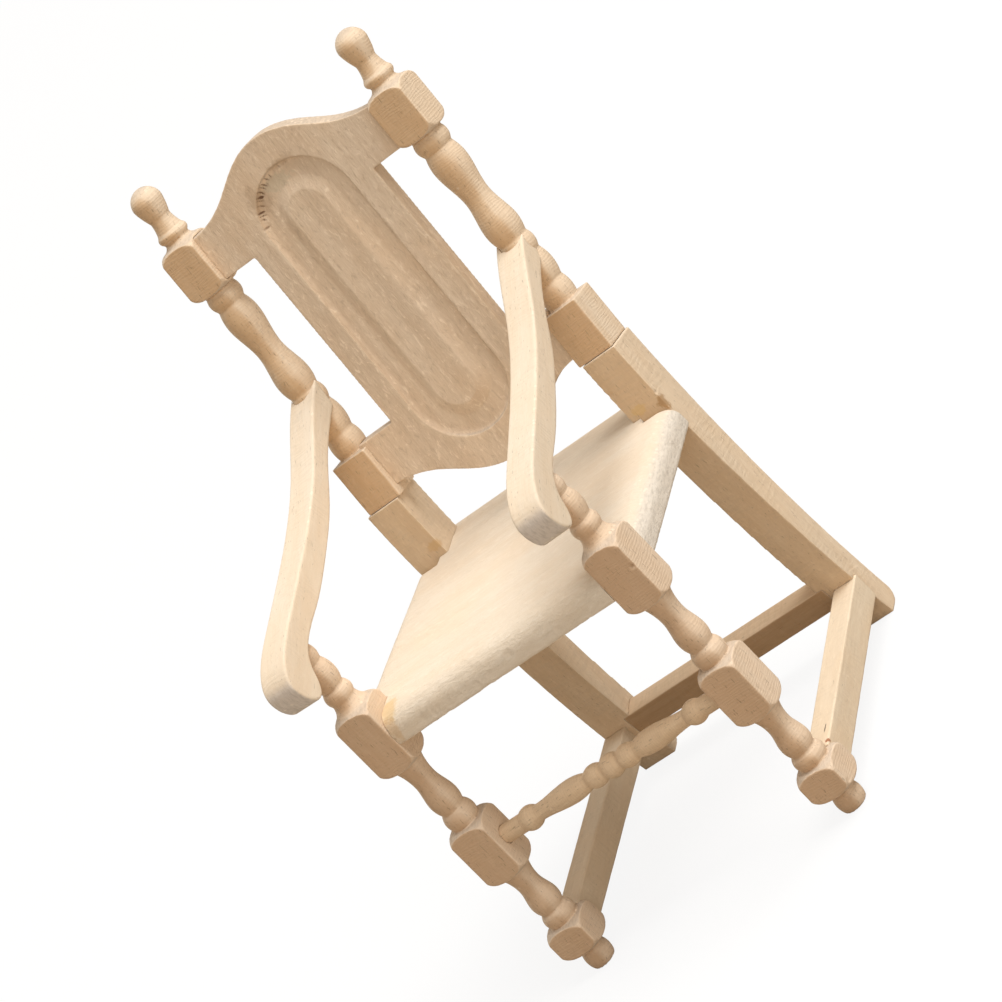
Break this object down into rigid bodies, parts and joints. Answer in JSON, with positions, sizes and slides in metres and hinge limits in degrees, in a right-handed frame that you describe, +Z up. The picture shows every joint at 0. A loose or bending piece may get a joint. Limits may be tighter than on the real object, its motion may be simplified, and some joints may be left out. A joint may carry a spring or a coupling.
{
  "type": "miniature armchair",
  "caption": "Miniature high-back armchair for a dolls house: turned front legs and back posts, serpentine routed back panel, solid seat, curved arms and low stretchers.",
  "frame": {"origin": "middle of the bounding box in plan, on the floor the four feet stand on", "axes": "+Z up, -Y is the way a sitter faces, +X to the right seen from in front"},
  "size_m": [0.0436, 0.0524, 0.0921],
  "materials": {
    "turned_wood": "raw, lathe turned",
    "sawn_wood": "raw, sawn and sanded",
    "panel_wood": "raw, fuzzy grain, routed groove",
    "seat_wood": "raw, open grain"
  },
  "bodies": {
    "root": {"arm_left": "sawn_wood", "arm_right": "sawn_wood", "back_panel": "panel_wood", "back_post_left": "turned_wood", "back_post_right": "turned_wood", "front_leg_left": "turned_wood", "front_leg_right": "turned_wood", "front_stretcher": "turned_wood", "rear_leg_left": "sawn_wood", "rear_leg_right": "sawn_wood", "rear_stretcher": "sawn_wood", "seat": "seat_wood", "side_stretcher_left": "sawn_wood", "side_stretcher_right": "sawn_wood"}
  },
  "joints": []
}
